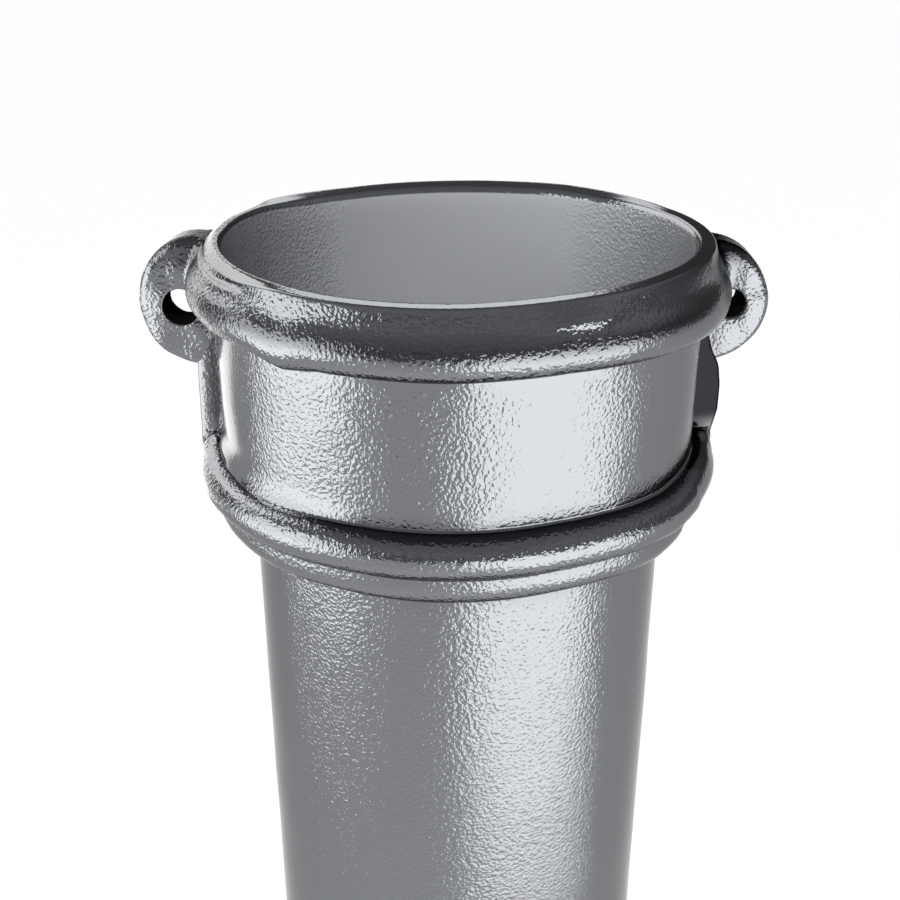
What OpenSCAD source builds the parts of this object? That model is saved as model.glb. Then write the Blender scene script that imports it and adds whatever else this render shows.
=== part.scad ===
/* [Pipe] */
// Length from the spigot end to the socket rim
length = 914; // [600:1:1829]
// Outside diameter of the barrel
barrel_d = 107; // [100:0.5:110]
// Wall of the barrel
barrel_wall = 3.5; // [2.5:0.1:6]

/* [Socket] */
// Inside diameter of the socket
socket_bore_d = 114; // [113:0.5:122]
// Wall of the socket between its two mouldings
socket_wall = 3; // [2:0.1:5]
// Depth of the socket's straight bore, from the rim down
socket_depth = 60; // [56:0.5:66]
// Height of the slope under the straight bore, on which a spigot stands
slope_h = 10.5; // [7:0.5:16]
// Radius that rounds the rim's inner and outer edges
rim_round = 1; // [0.3:0.1:1.2]
// How far the rim's outer edge stands out from the socket
rim_rise = 1.5; // [0:0.1:2.5]

/* [Mouldings] */
// Radius of the bead that each moulding carries
bead_r = 5; // [3:0.1:6.5]
// How far each bead stands out from the socket
bead_rise = 6.5; // [4:0.1:8]
// Radius of the cove where a bead meets the socket
cove_r = 2; // [0.5:0.1:3]
// Drop from the rim to the widest line of the collar's bead
collar_drop = 11; // [9:0.5:14]
// Drop from the rim to the widest line of the lower bead
foot_drop = 56.5; // [52:0.5:62]
// How far the quarter round under the lower bead stands out from the socket
quarter_rise = 2.8; // [1:0.1:3.5]
// Drop from the lower bead's widest line to the underside of the quarter round
quarter_drop = 13.5; // [12:0.1:17]
// Step from the quarter round's underside in to the barrel
quarter_step = 2; // [1:0.1:3]

/* [Ears] */
// Distance between the centres of the two fixing holes
hole_spacing = 138.4; // [138:0.2:160]
// Diameter of the fixing holes
hole_d = 8.5; // [5:0.5:9.5]
// Iron between a fixing hole and the rounded end of its ear
ear_margin = 6.5; // [4:0.05:8]
// Height of each ear
ear_h = 31.2; // [26:0.2:32]
// Drop from the rim to the middle of the ears and their fixing holes
ear_drop = 19; // [17:0.1:24]
// Thickness of the ears and webs, front to back
plate_t = 12; // [8:0.5:16]
// Distance from the pipe's axis back to the front of the ears and webs
plate_set = 0.5; // [-6:0.5:20]
// Radius that rounds the edges of the ears and webs
plate_round = 2; // [0.5:0.1:3]

/* [Webs] */
// Distance across the two webs at their widest
web_span = 134.4; // [134:0.2:138]
// How far each web draws in where it leaves its ear
web_neck = 2; // [0:0.1:3]
// Height over which each web widens again below its ear
web_neck_h = 6; // [2:0.5:9]

/* [Hidden] */
$fn = 96;

rim_z = length;
barrel_r = barrel_d / 2;
bore_r = barrel_r - barrel_wall;
socket_bore_r = socket_bore_d / 2;
socket_r = socket_bore_r + socket_wall;
slope_z = rim_z - socket_depth;

// Centres of the beads, and of the coves beside them
bead_x = socket_r + bead_rise - bead_r;
collar_z = rim_z - collar_drop;
foot_z = rim_z - foot_drop;
cove_x = socket_r + cove_r;
cove_rise = sqrt(pow(bead_r + cove_r, 2) - pow(cove_x - bead_x, 2));

// The collar's shoulder runs straight from the rim's rounded edge and meets the bead at a tangent
edge = [socket_r + rim_rise - rim_round, rim_z - rim_round];
to_edge = edge - [bead_x, collar_z];
shoulder_a = atan2(to_edge.y, to_edge.x) - acos((bead_r - rim_round) / norm(to_edge));
shoulder_out = [cos(shoulder_a), sin(shoulder_a)];

// The quarter round under the lower bead
quarter_x = barrel_r + quarter_step;
quarter_r = socket_r + quarter_rise - quarter_x;
underside_z = foot_z - quarter_drop;

ear_r = ear_h / 2;
ear_z = rim_z - ear_drop;
ear_x = hole_spacing / 2 + hole_d / 2 + ear_margin - ear_r;
web_r = web_span / 2;
web_top_z = ear_z - ear_r;

// Section of the cove between the socket wall and the bead at height z, above it (1) or below it (-1)
module cove(z, way) {
    difference() {
        polygon([[bore_r, z], [bead_x, z], [cove_x, z + way * cove_rise], [bore_r, z + way * cove_rise]]);
        translate([cove_x, z + way * cove_rise]) circle(r = cove_r);
    }
}

// The outside of the barrel and socket, turned in one with its mouldings
module outside() {
    rotate_extrude() {
        polygon([
            [0, 0], [barrel_r, 0], [barrel_r, underside_z], [quarter_x, underside_z],
            [quarter_x, underside_z + quarter_r], [quarter_x + quarter_r, underside_z + quarter_r],
            [quarter_x + quarter_r, foot_z], [socket_r, foot_z], [socket_r, collar_z], [bead_x, collar_z],
            [bead_x, collar_z] + bead_r * shoulder_out, edge + rim_round * shoulder_out,
            edge, [edge.x, rim_z], [0, rim_z]
        ]);
        translate(edge) circle(r = rim_round);
        for (z = [collar_z, foot_z]) translate([bead_x, z]) circle(r = bead_r);
        cove(collar_z, -1);
        cove(foot_z, 1);
        translate([quarter_x, underside_z + quarter_r]) circle(r = quarter_r);
    }
}

// The waterway, opening by a slope into the socket, whose rim has a rounded inner edge
module hollow() {
    rotate_extrude() difference() {
        polygon([
            [0, -1], [bore_r, -1], [bore_r, slope_z - slope_h], [socket_bore_r, slope_z],
            [socket_bore_r, rim_z - rim_round], [socket_bore_r + rim_round, rim_z - rim_round],
            [socket_bore_r + rim_round, rim_z + 1], [0, rim_z + 1]
        ]);
        translate([socket_bore_r + rim_round, rim_z - rim_round]) circle(r = rim_round);
    }
}

// Section of a plate from its middle out to its rounded edge
module plate_half(reach) {
    square([reach - plate_round, plate_t]);
    translate([0, plate_round]) square([reach, plate_t - 2 * plate_round]);
    for (y = [plate_round, plate_t - plate_round]) translate([reach - plate_round, y]) circle(r = plate_round);
}

// The right-hand ear: a plate with a half-round end
module ear() {
    translate([ear_x, plate_set + plate_t, ear_z]) rotate([90, 0, 0]) {
        intersection() {
            rotate_extrude() plate_half(ear_r);
            translate([0, -ear_r, 0]) cube([ear_r, ear_h, plate_t]);
        }
        rotate([90, 0, 90]) translate([0, 0, -ear_r]) linear_extrude(ear_r) {
            plate_half(ear_r);
            mirror([1, 0]) plate_half(ear_r);
        }
    }
}

// The right-hand web, from its ear down to the lower bead
module web() {
    intersection() {
        translate([0, plate_set, foot_z - bead_r]) linear_extrude(ear_z - foot_z + bead_r) plate_half(web_r);
        translate([0, plate_set + plate_t, 0]) rotate([90, 0, 0]) linear_extrude(plate_t) polygon([
            [0, ear_z], [web_r - web_neck, ear_z], [web_r - web_neck, web_top_z], [web_r, web_top_z - web_neck_h],
            [web_r, foot_z], [web_r - bead_r, foot_z - bead_r], [0, foot_z - bead_r]
        ]);
    }
}

// The fixing hole through the right-hand ear
module fixing_hole() {
    translate([hole_spacing / 2, plate_set + plate_t + 1, ear_z]) rotate([90, 0, 0])
        cylinder(d = hole_d, h = plate_t + 2);
}

// The whole casting
module downpipe() {
    color([0.45, 0.46, 0.48]) difference() {
        union() {
            outside();
            for (side = [0, 1]) mirror([side, 0, 0]) { ear(); web(); }
        }
        hollow();
        for (side = [0, 1]) mirror([side, 0, 0]) fixing_hole();
    }
}

downpipe();
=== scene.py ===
import math

import bmesh
import bpy
import numpy as np
from mathutils import Matrix, Vector, noise


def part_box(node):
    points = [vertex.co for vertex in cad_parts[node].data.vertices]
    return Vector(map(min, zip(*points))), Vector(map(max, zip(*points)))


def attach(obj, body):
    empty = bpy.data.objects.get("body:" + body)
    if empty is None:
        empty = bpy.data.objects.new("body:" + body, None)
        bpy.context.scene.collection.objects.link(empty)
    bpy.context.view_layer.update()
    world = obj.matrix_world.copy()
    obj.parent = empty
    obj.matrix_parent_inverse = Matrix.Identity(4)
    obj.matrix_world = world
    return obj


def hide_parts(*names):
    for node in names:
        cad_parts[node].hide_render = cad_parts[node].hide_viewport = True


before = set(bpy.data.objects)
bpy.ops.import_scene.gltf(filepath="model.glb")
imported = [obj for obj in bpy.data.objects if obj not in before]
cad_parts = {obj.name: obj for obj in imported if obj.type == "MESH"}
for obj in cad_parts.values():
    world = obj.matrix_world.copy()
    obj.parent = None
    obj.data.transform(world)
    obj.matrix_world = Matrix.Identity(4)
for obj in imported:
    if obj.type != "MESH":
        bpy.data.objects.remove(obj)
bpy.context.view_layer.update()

# ---------------------------------------------------------------------------
# The casting. One piece of grey iron, poured in a sand mould: a plain barrel, and
# above it a socket with a collar at its rim, a bead and a quarter round at its
# foot, and down each side a lug, by which it is nailed to the wall, and a web.
# ---------------------------------------------------------------------------
MM = 0.001
RIM_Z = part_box("downpipe")[1][2]

# Radii in mm from the axis, heights in mm from the rim, and a hair's breadth to tell what lies on a surface
BORE_R = 50.0
BARREL_R = 53.5
MID_WALL_R = 52.0
SOCKET_BORE_R = 57.0
SOCKET_R = 60.0
LIP_INNER_R = 57.9
LIP_OUTER_R = 61.5
SHOULDER_R = 63.5
BEAD_X = 61.5
BEAD_R = 5.0
QUARTER_R = 62.9
QUARTER_ROUNDING = 6.2
BORE_EDGE_Z = -1.2
LIP_END_Z = -2.0
SHOULDER_Z = -4.8
COLLAR_Z = -11.0
COLLAR_END_Z = -22.0
FOOT_Z = -56.5
SLOPE_Z = -60.0
UNDERSIDE_Z = -70.0
MOULDINGS_END_Z = -75.0
PLAIN_Z = -190.0
SPIGOT_Z = -RIM_Z / MM
HAIR = 0.05


def wrap(z, first, last, count):
    """The corners, with their rounding, that wrap a bead at height z from one bearing to another."""
    half = math.radians(last - first) / count / 2
    turns = [math.radians(first) + half * (2 * k + 1) for k in range(count)]
    reach = BEAD_R / math.cos(half)
    # Neighbouring roundings end just before they would meet
    rounding = 0.98 * BEAD_R * math.tan(abs(half))
    return [(BEAD_X + reach * math.cos(t), z + reach * math.sin(t), rounding) for t in turns]


# Corners of the section: radius, height, and how far each is rounded along its edges
CORNERS = [
    (BORE_R, SPIGOT_Z, 0),
    (BORE_R, UNDERSIDE_Z - 0.5, 1.0),
    (SOCKET_BORE_R, SLOPE_Z, 1.0),
    (SOCKET_BORE_R, BORE_EDGE_Z, 0.5),
    (LIP_INNER_R, 0.0, 0.4),
    (LIP_OUTER_R, -0.1, 0.4),
    (SHOULDER_R, SHOULDER_Z, 1.0),
    *wrap(COLLAR_Z, 50, -95, 3),
    (SOCKET_R, COLLAR_Z - 4.9, 0.9),
    (SOCKET_R, FOOT_Z + 4.9, 0.9),
    *wrap(FOOT_Z, 95, -72, 4),
    (QUARTER_R - 0.2, FOOT_Z - 5.4, 0.3),
    (QUARTER_R, UNDERSIDE_Z, QUARTER_ROUNDING),
    (BARREL_R + 2, UNDERSIDE_Z, 0.4),
    (BARREL_R, UNDERSIDE_Z - 0.3, 0.4),
    (BARREL_R, PLAIN_Z, 0),
    (BARREL_R, SPIGOT_Z, 0),
]
WIDE_ROUNDING = 0.9
casting_bm = bmesh.new()
corner_verts = [casting_bm.verts.new((r * MM, 0, RIM_Z + z * MM)) for r, z, _ in CORNERS]
for here, after in zip(corner_verts, corner_verts[1:] + corner_verts[:1]):
    casting_bm.edges.new((here, after))
for vert, (_, _, rounding) in zip(corner_verts, CORNERS):
    if rounding:
        bmesh.ops.bevel(
            casting_bm, geom=[vert], offset=rounding * MM, offset_type="OFFSET",
            segments=6 if rounding >= WIDE_ROUNDING else 3, profile=0.5, affect="VERTICES", material=-1,
        )

# Spacing in mm of the rows that run round the pipe, down from the lip, and the number of its columns
LIP_ROWS = 0.7
LIP_ROWS_END_Z = -0.5
MOULDING_ROWS = 1.3
SOCKET_BORE_ROWS = 5.0
BARREL_ROWS = 3.2
PLAIN_ROWS = 40.0
COLUMNS = 352


def row_spacing(height, radius):
    """The spacing of the section's rows at a height and radius."""
    if height > LIP_ROWS_END_Z:
        return LIP_ROWS
    if height > MOULDINGS_END_Z:
        return MOULDING_ROWS if radius > SOCKET_BORE_R + 1 else SOCKET_BORE_ROWS
    return BARREL_ROWS if height > PLAIN_Z and radius > MID_WALL_R else PLAIN_ROWS


for edge in list(casting_bm.edges):
    middle = (edge.verts[0].co + edge.verts[1].co) / 2
    spacing = row_spacing((middle.z - RIM_Z) / MM, middle.x / MM)
    cuts = math.ceil(edge.calc_length() / MM / spacing) - 1
    if cuts > 0:
        bmesh.ops.subdivide_edges(casting_bm, edges=[edge], cuts=cuts)
bmesh.ops.spin(
    casting_bm, geom=casting_bm.verts[:] + casting_bm.edges[:], axis=(0, 0, 1), cent=(0, 0, 0),
    angle=2 * math.pi, steps=COLUMNS, use_merge=True,
)
bmesh.ops.recalc_face_normals(casting_bm, faces=casting_bm.faces)


def bell(value, middle, spread):
    """A smooth bump that is 1 at its middle and dies away over about twice its spread."""
    return np.exp(-((value - middle) / spread) ** 2)


# The columns stand closer together at the flanks of the webs, on the right (1) and on the left (-1)
WEB_Y = 5.2
RIGHT_WEB_BEARING = math.degrees(math.asin(WEB_Y / SOCKET_R))
WEB_BEARINGS = {1: RIGHT_WEB_BEARING, -1: 180 - RIGHT_WEB_BEARING}
FLANK_DEGREES = 5.5
FLANK_SPREAD = 2.0
CROWDING = 7.0
even_bearings = np.linspace(0, 360, 3601)
density = np.ones_like(even_bearings)
for web_bearing in WEB_BEARINGS.values():
    for flank in (-FLANK_DEGREES, FLANK_DEGREES):
        from_flank = (even_bearings - web_bearing - flank + 180) % 360 - 180
        density += CROWDING * bell(from_flank, 0, FLANK_SPREAD)
share_turned = np.concatenate([[0], np.cumsum(density[1:])])
share_turned /= share_turned[-1]


def along(value, table):
    """Reads a table of stations and amounts, in straight lines from one station to the next."""
    return float(np.interp(value, *table))


def swell(x, y, z, size, seed):
    """Smooth noise in -1..1 whose lumps are about so many mm across."""
    return noise.noise(Vector((x / size + seed, y / size - seed, z / size)))


# Tables of the casting's uneven shape, in mm, by height or by bearing in degrees from the front to the right.
# The lip slopes inwards at the back, and its outer part is worn down on the left.
LIP_DIP = ([-180, -135, -105, 105, 135, 180], [1.6, 1.6, 0, 0, 1.6, 1.6])
LIP_WEAR = ([-125, -105, -60, -40], [0, 0.8, 0.8, 0])
LIP_WEAR_R = 59.6
# The rim and both mouldings wander up and down on their way round, each by the share for the height
RIM_WANDER = (
    [-180, -165, -150, -118, -90, -60, -30, 0, 20, 50, 80, 115, 135, 150, 165, 180],
    [0.2, 0.1, 0.0, 0.8, 0.3, 0.0, -0.45, -0.2, 0.4, 0.5, 0.2, 0.0, 0.5, 0.8, 0.4, 0.2],
)
RIM_SHARE = ([-8, -2], [0, 1])
COLLAR_WANDER = (
    [-180, -75, -60, -50, -43, -36, -28, -20, 0, 20, 35, 60, 180],
    [0, 0.8, 0.9, 1.0, 0.5, -1.0, 0.2, 0.3, 0.5, 1.0, 0.6, -0.9, 0],
)
COLLAR_SHARE = ([-22, -16, -8, -3], [0, 1, 1, 0])
FOOT_WANDER = (
    [-180, -100, -70, -45, -30, 0, 20, 32, 50, 65, 100, 180],
    [0, -1.5, -1.1, -0.4, 0.4, 0.8, 1.0, 0.6, -0.9, -0.1, -0.5, 0],
)
FOOT_SHARE = ([-85, -70, -50, -42], [0, 1, 1, 0])
# The radius that each web reaches, by height; half its width at the root; the width of each of its flanks;
# and how far round from its middle the pipe is shaped by it
WEB_REACH = {
    1: (
        [-74, -68, -64, -61, -56, -53, -50, -47, -40, -35, -30, -16, -13],
        [50, 57, 63.0, 66.5, 66.8, 66.6, 67.3, 68.0, 67.9, 67.2, 64.8, 62, 50],
    ),
    -1: (
        [-76, -70, -65, -60, -52, -40, -30, -16, -13],
        [50, 60, 65.5, 67.3, 67.1, 66.9, 66.6, 62, 50],
    ),
}
WEB_HALF_WIDTH = 6.9
WEB_FLANK_WIDTH = 2.5
NEAR_WEB = 36
# Beside each web the lower bead's upper edge turns up into the corner, and the right one is slimmer there
CORNER_LIFT = ([-66, -62, -57, -53, -50, -34], [0.0, 0.15, 0.525, 1.35, 1.5, 0.0])
CORNER_FROM_WEB = 9
CORNER_SPREAD = 2.5
SLIMMER_BEAD = ([-72, -66, -54, -51], [0, 0.4, 0.4, 0])
# A lump on the collar's shoulder, right of the front
LUMP_BEARING = 22
LUMP_BEARING_SPREAD = 8
LUMP_Z = -3.5
LUMP_Z_SPREAD = 1.9
LUMP_RISE = 1.5
# On the left, iron fills the corner above the lower bead
CORNER_FILL = ([-150, -130, -40, -20], [0, 1.6, 1.6, 0])
FILL_TOP_Z = -46
FILL_FOOT_Z = -52
FILL_HEIGHT = 5.6
# How far the skin swells in and out, broadly by height, in ripples on the mouldings and in the bore, and
# how far its rows sway up and down
BROAD_SWELL = ([-400, -190, -75, -74], [0.05, 0.15, 0.15, 0.3])
RIPPLE = 0.12
ROW_SWAY = 0.4
BORE_SWELL = 0.15

# Tables of the paint and of its painted shade, by the same heights and bearings. The bore's coat is duller,
# most of all at the back, and its grain is coarse at the sides.
BORE_COAT = ([90, 115, 145, 180], [0.4, 0.55, 1.0, 1.0])
BORE_GRAIN = ([90, 115, 135, 152], [1.2, 1.9, 1.9, 0.15])
LIP_GRAIN = ([-120, -100, -65, -50], [0.15, 0.8, 0.8, 0.15])
LIP_FACE_Z = -0.6
# Paint has filled the grain on the right, from further forward on the collar, on the left of the wall and
# barrel, and in the corners where the wall meets the mouldings, most of all in front
FILLED_COLLAR = ([28, 50, 100, 130], [0, 0.7, 0.7, 0])
FILLED_COLLAR_HEIGHTS = ([-16, -12, -3], [0, 1, 1])
FILLED_RIGHT = ([36, 52, 100, 130], [0, 0.7, 0.7, 0])
FILLED_LEFT = ([-100, -85, -59, -50], [0, 0.85, 0.85, 0])
FILLED_CORNERS = ([-45, -15], [0.2, 1])
FILLED_CORNER_HEIGHTS = ([-51.5, -49, -45, -20, -17, -15.5], [0.8, 0.5, 0, 0, 0.6, 0])
# Below the collar, painted shade darkens the corners, except on the left
LIGHT_CORNERS = ([-150, -130, -30, -12], [0, 0.9, 0.9, 0])
# Painted shade, nearly black, lies in a groove above the collar's bead, on the flanks of the webs by distance
# from their middle, and where the collar runs into the right lug
SHADE_GROOVE = ([-70, -50, 45, 65], [0, 0.5, 0.5, 0])
GROOVE_Z = -8
GROOVE_SPREAD = 1.8
SHADE_FLANK = {1: ([3.5, 4.3, 9, 11], [0, 1, 1, 0]), -1: ([5, 5.8, 9, 11], [0, 0.7, 0.7, 0])}
SHADE_FLANK_HEIGHTS = ([-56, -48, -18, -14], [0, 1, 1, 0])
SHADE_ROOT = ([18, 34], [1, 0])
SHADE_ROOT_HEIGHTS = ([-15, -10, -3, 0], [0, 1, 1, 0])


def outside_grain(from_front, height, radius):
    """How much of the grain shows on the outside, from 0 where paint has filled it to 1."""
    filled = [
        along(height, FILLED_COLLAR_HEIGHTS) * along(from_front, FILLED_COLLAR),
        along(from_front, FILLED_RIGHT),
    ]
    if radius < SOCKET_R + 0.5 and not UNDERSIDE_Z < height < FOOT_Z + BEAD_R + 0.5:
        filled.append(along(from_front, FILLED_LEFT))
    if height > FOOT_Z + BEAD_R:
        filled.append(along(height, FILLED_CORNER_HEIGHTS) * along(from_front, FILLED_CORNERS))
    return 1 - max(filled)


def lip_drop(from_front, radius):
    """How far the lip lies below its true height."""
    drop = 0.0
    if radius < LIP_OUTER_R - HAIR:
        drop += along(from_front, LIP_DIP) * (LIP_OUTER_R - radius) / (LIP_OUTER_R - SOCKET_BORE_R)
    if radius > LIP_WEAR_R:
        drop += along(from_front, LIP_WEAR) * (radius - LIP_WEAR_R)
    return drop


def web_rise(from_web):
    """How much of a web's height stands this many mm from its middle."""
    t = min(max((WEB_HALF_WIDTH - from_web) / WEB_FLANK_WIDTH, 0.0), 1.0)
    return t * t * (3 - 2 * t)


inner = casting_bm.verts.layers.float.new("inner")
deep_shade = casting_bm.verts.layers.float.new("deep_shade")
grainy = casting_bm.verts.layers.float.new("grainy")
shaded = casting_bm.verts.layers.float.new("shaded")
for vert in casting_bm.verts:
    bearing = math.degrees(math.atan2(vert.co.y, vert.co.x)) % 360
    bearing = along(bearing / 360, (share_turned, even_bearings))
    from_front = (bearing + 270) % 360 - 180
    radius = math.hypot(vert.co.x, vert.co.y) / MM
    height = (vert.co.z - RIM_Z) / MM
    angle = math.radians(bearing)
    east = math.cos(angle) * radius
    north = math.sin(angle) * radius
    on_barrel = height < UNDERSIDE_Z and radius > MID_WALL_R

    if height < BORE_EDGE_Z and radius < SOCKET_BORE_R + 0.3 and not on_barrel:
        vert[inner] = along(abs(from_front), BORE_COAT)
        vert[grainy] = along(abs(from_front), BORE_GRAIN)
    elif height > LIP_FACE_Z:
        vert[grainy] = along(from_front, LIP_GRAIN)
    else:
        vert[grainy] = outside_grain(from_front, height, radius)
    # Painted shade in the corners below the collar
    if height < COLLAR_END_Z:
        vert[shaded] = 1 - along(from_front, LIGHT_CORNERS)

    if height > LIP_END_Z:
        height -= lip_drop(from_front, radius)
    if radius > LIP_INNER_R + HAIR or on_barrel:
        height += (
            along(height, COLLAR_SHARE) * along(from_front, COLLAR_WANDER)
            + along(height, RIM_SHARE) * along(from_front, RIM_WANDER)
            + along(height, FOOT_SHARE) * along(from_front, FOOT_WANDER)
        )
        # Painted shade, nearly black: in the groove, on the web flanks and at the right lug's root
        shade_depth = along(from_front, SHADE_GROOVE) * bell(height, GROOVE_Z, GROOVE_SPREAD)
        for side, web_bearing in WEB_BEARINGS.items():
            from_web = math.radians(abs((bearing - web_bearing + 180) % 360 - 180)) * SOCKET_R
            if from_web < NEAR_WEB:
                height += along(height, CORNER_LIFT) * bell(from_web, CORNER_FROM_WEB, CORNER_SPREAD)
                if side > 0:
                    radius -= along(height, SLIMMER_BEAD)
                    shade_depth = max(shade_depth, along(from_web, SHADE_ROOT) * along(height, SHADE_ROOT_HEIGHTS))
                shade_depth = max(shade_depth, along(from_web, SHADE_FLANK[side]) * along(height, SHADE_FLANK_HEIGHTS))
                radius += max(0.0, along(height, WEB_REACH[side]) - radius) * web_rise(from_web)
        vert[deep_shade] = shade_depth
        lump = bell(from_front, LUMP_BEARING, LUMP_BEARING_SPREAD) * bell(height, LUMP_Z, LUMP_Z_SPREAD)
        radius += LUMP_RISE * lump
        if FILL_FOOT_Z < height < FILL_TOP_Z and radius < SOCKET_R + 0.9:
            down = min(FILL_TOP_Z - height, FILL_HEIGHT) / FILL_HEIGHT
            radius += along(from_front, CORNER_FILL) * down ** 2
        radius += along(height, BROAD_SWELL) * swell(east, north, height, size=22, seed=3.1)
        if height > MOULDINGS_END_Z:
            proud = min(1.0, (radius - SOCKET_R + 1) / 3)
            below_rim = min(1.0, -height / 8)
            radius += RIPPLE * swell(east, north, height, size=7, seed=6.3) * proud
            height += ROW_SWAY * swell(east, north, height * 0.3, size=35, seed=8.7) * below_rim
    else:
        radius += BORE_SWELL * swell(east, north, height, size=25, seed=5.2)
        height += along(height, RIM_SHARE) * along(from_front, RIM_WANDER)
    vert.co = (math.cos(angle) * radius * MM, math.sin(angle) * radius * MM, RIM_Z + height * MM)

# Each lug is a plate with a half-round end, pierced by its fixing hole, whose root runs into the collar
PLATE_FRONT = 0.5
PLATE_BACK = 12.5
PLATE_MIDDLE = (PLATE_FRONT + PLATE_BACK) / 2
WALL_MIDDLE_R = 58.5
CIRCLE_SEGMENTS = 96
SHARP_ANGLE = 0.9
END_ROUNDING = 2.2
LONG_EDGE = 2.4 * MM
CURL_X = 72
CURL_LENGTH = 8
# The radius of the socket's outside, by height
OUTSIDE = ([-52, -50, -17, -16, -14.5, -11, -7, -4.8, 0], [62, 60, 60, 62, 65, 66.5, 64.8, 63.5, 61.5])
# Heights above a lug's middle between which the painted shade on its top deepens
SHADE_LUG_TOP = [9.5, 13.5]

placed = casting_bm.verts.layers.int.new("placed")
in_hole = casting_bm.verts.layers.float.new("in_hole")
for vert in casting_bm.verts:
    vert[placed] = 1


def unplaced():
    """The vertices of the lug that is being made."""
    return [v for v in casting_bm.verts if not v[placed]]


def linked(verts, kind):
    """The edges or faces, by kind, that these vertices belong to, each once."""
    return list(dict.fromkeys(g for v in verts for g in getattr(v, kind)))


def add_lug(side, hole_x, hole_z, hole_r, lug_x, lug_z, lug_r, hole_rounding, root, rise, curl, lumps, shade_depth):
    """Adds a lug, in mm, from its hole and its end.

    Its root spreads into the pipe, its top rises, its tip curls back, its face has lumps, and its top is
    darkened by painted shade.
    """
    quarter_turn = Matrix.Rotation(math.pi / 2, 3, "X")
    rims = []
    for radius, x, z in ((lug_r, lug_x, lug_z), (hole_r, hole_x, hole_z)):
        circle = bmesh.ops.create_circle(casting_bm, segments=CIRCLE_SEGMENTS, radius=radius * MM)["verts"]
        bmesh.ops.rotate(casting_bm, verts=circle, cent=(0, 0, 0), matrix=quarter_turn)
        bmesh.ops.translate(casting_bm, verts=circle, vec=(x * MM, PLATE_FRONT * MM, RIM_Z + z * MM))
        rims += linked(circle, "link_edges")
    front = bmesh.ops.bridge_loops(casting_bm, edges=rims)["faces"]
    pushed = bmesh.ops.extrude_face_region(casting_bm, geom=front, use_keep_orig=True)["geom"]
    back = [g for g in pushed if isinstance(g, bmesh.types.BMVert)]
    bmesh.ops.translate(casting_bm, verts=back, vec=(0, (PLATE_BACK - PLATE_FRONT) * MM, 0))
    bmesh.ops.recalc_face_normals(casting_bm, faces=linked(unplaced(), "link_faces"))

    hole_edges, end_edges = [], []
    for edge in linked(unplaced(), "link_edges"):
        if edge.calc_face_angle(0) > SHARP_ANGLE:
            middle = (edge.verts[0].co + edge.verts[1].co) / 2
            from_hole = math.hypot(middle.x - hole_x * MM, middle.z - RIM_Z - hole_z * MM)
            edges = hole_edges if from_hole < (hole_r + 0.5) * MM else end_edges
            edges.append(edge)
    for edges, rounding, segments in ((hole_edges, hole_rounding, 3), (end_edges, END_ROUNDING, 6)):
        bmesh.ops.bevel(
            casting_bm, geom=edges, offset=rounding * MM, offset_type="OFFSET", segments=segments,
            profile=0.5, affect="EDGES", material=-1,
        )
    long_edges = [e for e in linked(unplaced(), "link_edges") if e.calc_length() > LONG_EDGE]
    bmesh.ops.subdivide_edges(casting_bm, edges=long_edges, cuts=7, use_grid_fill=True)

    lug = unplaced()
    for vert in lug:
        x, y, z = vert.co.x / MM, vert.co.y / MM, (vert.co.z - RIM_Z) / MM
        # The fixing hole's bore is marked to be painted black as shade
        if math.hypot(x - hole_x, z - hole_z) < hole_r + HAIR:
            vert[in_hole] = 1.0
        gap = min(max(math.hypot(x, y) - along(z, OUTSIDE), 0.0), root)
        spread = root - math.sqrt(root ** 2 - (root - gap) ** 2)
        y += spread if y > PLATE_MIDDLE else -spread
        x += 0.3 * swell(x, y, z * side, size=11, seed=4.4)
        y += 0.4 * swell(x, y, z * side, size=14, seed=9.9) + 0.5 * swell(x, y, z * side, size=5.5, seed=2.2)
        y += curl * max(0.0, (x - CURL_X) / CURL_LENGTH) ** 2 + lumps * swell(x, y, z, size=9, seed=7.2)
        z += rise * max(0.0, (z - lug_z) / lug_r) ** 2
        z += 0.35 * swell(x, y, z * side, size=11, seed=1.7)
        x = max(x, math.sqrt(WALL_MIDDLE_R ** 2 - y ** 2))
        vert.co = (side * x * MM, y * MM, RIM_Z + z * MM)
        vert[placed] = 1
        vert[grainy] = 1.0
        # The lug's corners take the painted corner shade, and its top a deeper painted shade
        vert[shaded] = 1.0
        vert[deep_shade] = along(z - lug_z, (SHADE_LUG_TOP, [0, shade_depth]))
    bmesh.ops.recalc_face_normals(casting_bm, faces=linked(lug, "link_faces"))


add_lug(
    side=1, hole_x=68.5, hole_z=-18.6, hole_r=3.6, lug_x=62.9, lug_z=-18.9, lug_r=15.3,
    hole_rounding=0.7, root=3.0, rise=0.8, curl=0.0, lumps=0.0, shade_depth=0.95,
)
add_lug(
    side=-1, hole_x=69.7, hole_z=-19.3, hole_r=4.6, lug_x=65.3, lug_z=-19.1, lug_r=15.6,
    hole_rounding=0.5, root=1.8, rise=1.9, curl=1.8, lumps=1.4, shade_depth=0.5,
)
casting_bm.verts.layers.int.remove(placed)


def finished(bm, name):
    """Makes an object of this name from a bmesh, and frees the bmesh."""
    mesh = bpy.data.meshes.new(name)
    bm.to_mesh(mesh)
    bm.free()
    piece = bpy.data.objects.new(name, mesh)
    bpy.context.collection.objects.link(piece)
    return piece


casting = finished(casting_bm, "casting")
casting.data.shade_smooth()
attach(casting, "root")
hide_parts("downpipe")

# Grey metallic paint on a grainy skin. The bore's coat is duller; painted shade darkens the corners, is
# nearly black in the deepest of them, and paints the fixing holes' bores black. Each vertex carries how much
# it has of these.
GRAIN_SCALE = 1150
GRAIN_DEPTH = 0.24 * MM
CORNER_REACH = 12 * MM
CORNER_SAMPLES = 8
PAINT = (0.192, 0.198, 0.208, 1)
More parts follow.
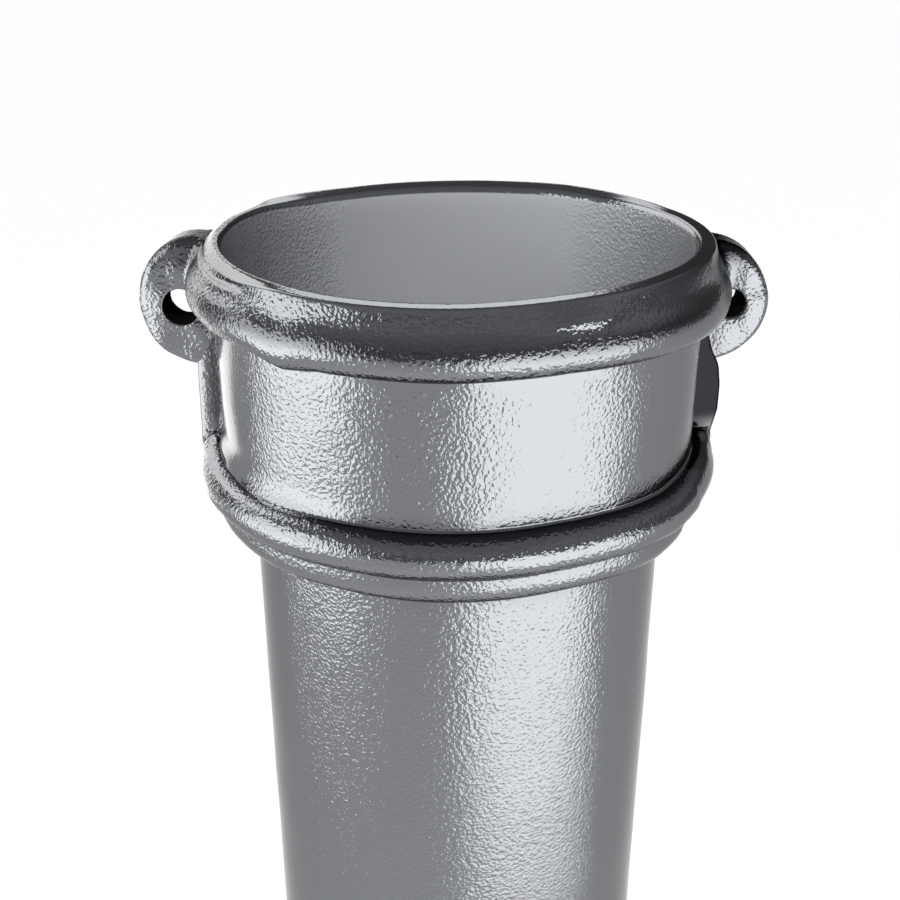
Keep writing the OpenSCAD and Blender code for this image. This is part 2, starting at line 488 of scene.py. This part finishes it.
# Colours of the paint, of the painted shade in corners and in the deepest shade, of the bore's coat, and of
# the fixing holes' bores painted black as shade
CORNER_SHADE = (0.03, 0.03, 0.034, 1)
DEEP_SHADE_BLACK = (0.012, 0.012, 0.014, 1)
BORE_PAINT = (0.4, 0.41, 0.425, 1)
HOLE_SHADE_BLACK = (0.005, 0.005, 0.005, 1)
GLINT = (0.6, 0.6, 0.6, 1)
DEEP_SHADE_GLINT = (0.08, 0.08, 0.08, 1)
GLOSSY = 0.15
DULL = 0.5


def feed(tree, value, socket):
    """Links another node's value to a socket, or sets the socket to a plain value."""
    if isinstance(value, bpy.types.NodeSocket):
        tree.links.new(value, socket)
    else:
        socket.default_value = value


def combined(tree, operation, first, second):
    """Two numbers made into one by MULTIPLY or MAXIMUM."""
    maths = tree.nodes.new("ShaderNodeMath")
    maths.operation = operation
    feed(tree, first, maths.inputs[0])
    feed(tree, second, maths.inputs[1])
    return maths.outputs[0]


def graded(tree, value, start, end, at_start, at_end, kind="LINEAR"):
    """A number that runs from at_start to at_end while the value fed to it goes from start to end."""
    step = tree.nodes.new("ShaderNodeMapRange")
    step.interpolation_type = kind
    step.inputs["From Min"].default_value = start
    step.inputs["From Max"].default_value = end
    step.inputs["To Min"].default_value = at_start
    step.inputs["To Max"].default_value = at_end
    tree.links.new(value, step.inputs["Value"])
    return step.outputs["Result"]


def carried(tree, name):
    """The amount that the mesh's vertices carry under this name."""
    amount = tree.nodes.new("ShaderNodeAttribute")
    amount.attribute_name = name
    return amount.outputs["Fac"]


def blend(tree, kind, weight, plain, other):
    """Mixes two numbers (FLOAT) or colours (RGBA) by a weight: plain at 0, other at 1."""
    mix = tree.nodes.new("ShaderNodeMix")
    mix.data_type = kind
    first, second, result = (2, 3, 0) if kind == "FLOAT" else (6, 7, 2)
    tree.links.new(weight, mix.inputs[0])
    feed(tree, plain, mix.inputs[first])
    feed(tree, other, mix.inputs[second])
    return mix.outputs[result]


paint = bpy.data.materials.new("grey_metallic_paint")
paint.use_nodes = True
coat = paint.node_tree
coat_shader = coat.nodes["Principled BSDF"]
bore_coat = carried(coat, "inner")
hole_shade = carried(coat, "in_hole")
deep_shade_weight = carried(coat, "deep_shade")

coordinates = coat.nodes.new("ShaderNodeTexCoord")
grain = coat.nodes.new("ShaderNodeTexNoise")
grain.inputs["Scale"].default_value = GRAIN_SCALE
grain.inputs["Detail"].default_value = 1
grain.inputs["Roughness"].default_value = 0.45
bump = coat.nodes.new("ShaderNodeBump")
bump.inputs["Strength"].default_value = 1.0
coat.links.new(coordinates.outputs["Object"], grain.inputs["Vector"])
coat.links.new(grain.outputs["Fac"], bump.inputs["Height"])
coat.links.new(combined(coat, "MULTIPLY", carried(coat, "grainy"), GRAIN_DEPTH), bump.inputs["Distance"])
coat.links.new(bump.outputs["Normal"], coat_shader.inputs["Normal"])

# Painted shade: the paint turns nearly black where ambient occlusion finds a corner, by each vertex's shaded
# weight
corner = coat.nodes.new("ShaderNodeAmbientOcclusion")
corner.samples = CORNER_SAMPLES
corner.inputs["Distance"].default_value = CORNER_REACH
shade = graded(coat, corner.outputs["AO"], start=0.3, end=0.9, at_start=1.0, at_end=0.0, kind="SMOOTHSTEP")
corner_shade = combined(coat, "MULTIPLY", shade, carried(coat, "shaded"))
colour = blend(coat, "RGBA", corner_shade, PAINT, CORNER_SHADE)
# Painted shade, nearly black, by each vertex's deep shade weight
colour = blend(coat, "RGBA", deep_shade_weight, colour, DEEP_SHADE_BLACK)
colour = blend(coat, "RGBA", bore_coat, colour, BORE_PAINT)
# The fixing holes' bores are painted black as shade, with their reflections taken away
colour = blend(coat, "RGBA", hole_shade, colour, HOLE_SHADE_BLACK)
dull_coat_and_hole_shade = combined(coat, "MAXIMUM", bore_coat, hole_shade)
coat.links.new(colour, coat_shader.inputs["Base Color"])
# Reflections are dimmed where the deep shade is painted
coat.links.new(blend(coat, "RGBA", deep_shade_weight, GLINT, DEEP_SHADE_GLINT), coat_shader.inputs["Specular Tint"])
coat.links.new(blend(coat, "FLOAT", dull_coat_and_hole_shade, 1.0, 0.0), coat_shader.inputs["Metallic"])
coat.links.new(blend(coat, "FLOAT", hole_shade, 0.5, 0.0), coat_shader.inputs["Specular IOR Level"])
coat.links.new(blend(coat, "FLOAT", dull_coat_and_hole_shade, GLOSSY, DULL), coat_shader.inputs["Roughness"])
casting.data.materials.append(paint)

# ---------------------------------------------------------------------------
# Studio floor. A plain pale floor: it is white to the eye and in reflections,
# and gives the pipe no more light than a grey floor does.
# ---------------------------------------------------------------------------
FLOOR_HALF_WIDTH = 60
FLOOR_GREY = (0.2, 0.2, 0.2, 1)
FLOOR_WHITE = (0.93, 0.93, 0.93, 1)

floor_bm = bmesh.new()
bmesh.ops.create_grid(floor_bm, x_segments=1, y_segments=1, size=FLOOR_HALF_WIDTH)
floor = finished(floor_bm, "floor")
floor_paint = bpy.data.materials.new("pale_floor")
floor_paint.use_nodes = True
floor_tree = floor_paint.node_tree
floor_shader = floor_tree.nodes["Principled BSDF"]
floor_shader.inputs["Base Color"].default_value = FLOOR_GREY
floor_shader.inputs["Roughness"].default_value = 0.9
floor_shader.inputs["Specular IOR Level"].default_value = 0.0
floor_shader.inputs["Emission Color"].default_value = FLOOR_WHITE
ray = floor_tree.nodes.new("ShaderNodeLightPath")
shown = combined(floor_tree, "MAXIMUM", ray.outputs["Is Camera Ray"], ray.outputs["Is Glossy Ray"])
shown = combined(floor_tree, "MAXIMUM", shown, ray.outputs["Is Transmission Ray"])
floor_tree.links.new(shown, floor_shader.inputs["Emission Strength"])
floor.data.materials.append(floor_paint)

# ---------------------------------------------------------------------------
# Studio lights. Soft boxes stand round the pipe, on its right, on its left and
# behind it, and a small one from above lights the bore. The room is dim.
# ---------------------------------------------------------------------------
WHITE = (1, 1, 1)
CREAM = (1, 0.99, 0.965)


def soft_box(name, bearing, distance, width, low, high, power, tint=WHITE):
    """A soft box that faces the pipe; bearing is in degrees from straight in front, to the right."""
    data = bpy.data.lights.new(name, "AREA")
    data.shape = "RECTANGLE"
    data.size = width
    data.size_y = high - low
    data.energy = power * width * (high - low) * math.pi
    data.color = tint
    lamp = bpy.data.objects.new(name, data)
    turn = math.radians(bearing)
    lamp.location = (math.sin(turn) * distance, -math.cos(turn) * distance, (low + high) / 2)
    lamp.rotation_euler = (math.pi / 2, 0, turn)
    lamp.visible_camera = False
    bpy.context.collection.objects.link(lamp)
    return lamp


soft_box("right_box", 40, distance=0.72, width=1.0, low=0.06, high=0.98, power=2.8)
soft_box("left_box", -75.5, distance=0.9, width=0.86, low=0.38, high=1.32, power=3.1)
soft_box("rear_left_strip", -150, distance=1.0, width=0.72, low=0.35, high=1.19, power=2.8, tint=CREAM)
soft_box("high_left_box", -136, distance=1.0, width=0.98, low=1.2, high=2.0, power=2.8, tint=CREAM)
soft_box("high_rear_strip", 180, distance=1.2, width=0.44, low=1.22, high=1.7, power=2.9)
bore_box = soft_box("bore_box", -10, distance=0.8, width=0.4, low=1.6, high=2.0, power=23.5)
bore_box.visible_glossy = False
to_rim = Vector((0, 0, RIM_Z)) - bore_box.location
bore_box.rotation_euler = to_rim.to_track_quat("-Z", "Y").to_euler()

# The room's greys from the floor's level (0) to overhead (1), and how much dimmer it is behind the pipe
ROOM_GREYS = [
    (0.0, (0.5, 0.505, 0.52, 1)),
    (0.1, (0.24, 0.242, 0.25, 1)),
    (0.3, (0.24, 0.242, 0.25, 1)),
    (0.5, (0.48, 0.485, 0.5, 1)),
    (0.8, (0.33, 0.335, 0.345, 1)),
]
ROOM_BACK = 0.4
studio = bpy.data.worlds.new("studio")
bpy.context.scene.world = studio
studio.use_nodes = True
room = studio.node_tree
direction = room.nodes.new("ShaderNodeTexCoord")
split = room.nodes.new("ShaderNodeSeparateXYZ")
greys = room.nodes.new("ShaderNodeValToRGB")
stops = greys.color_ramp.elements
stops[0].color = ROOM_GREYS[0][1]
stops[1].position, stops[1].color = ROOM_GREYS[-1]
for position, grey in ROOM_GREYS[1:-1]:
    stops.new(position).color = grey
room.links.new(direction.outputs["Generated"], split.inputs[0])
room.links.new(split.outputs["Z"], greys.inputs["Fac"])
room.links.new(greys.outputs["Color"], room.nodes["Background"].inputs["Color"])
brightness = graded(room, split.outputs["Y"], start=0.0, end=0.8, at_start=1.0, at_end=ROOM_BACK)
room.links.new(brightness, room.nodes["Background"].inputs["Strength"])

# ---------------------------------------------------------------------------
# Camera. It stands close in front of the socket and looks down past the rim,
# so that the barrel runs out of the bottom of the picture.
# ---------------------------------------------------------------------------
CAMERA_DISTANCE = 283 * MM
CAMERA_BEARING = math.radians(0.9)
CAMERA_ABOVE_RIM = 69.6 * MM
CAMERA_PITCH = math.radians(24.35)
CAMERA_HEADING = math.radians(0.48)
CAMERA_LENS = 46.98
CAMERA_SENSOR = 36

camera_data = bpy.data.cameras.new("camera")
camera_data.lens = CAMERA_LENS
camera_data.sensor_width = CAMERA_SENSOR
camera_data.clip_start = 10 * MM
camera = bpy.data.objects.new("camera", camera_data)
camera.location = (
    -CAMERA_DISTANCE * math.sin(CAMERA_BEARING),
    -CAMERA_DISTANCE * math.cos(CAMERA_BEARING),
    RIM_Z + CAMERA_ABOVE_RIM,
)
camera.rotation_euler = (math.pi / 2 - CAMERA_PITCH, 0, -CAMERA_HEADING)
bpy.context.collection.objects.link(camera)
bpy.context.scene.camera = camera
bpy.context.scene.view_settings.view_transform = "Standard"
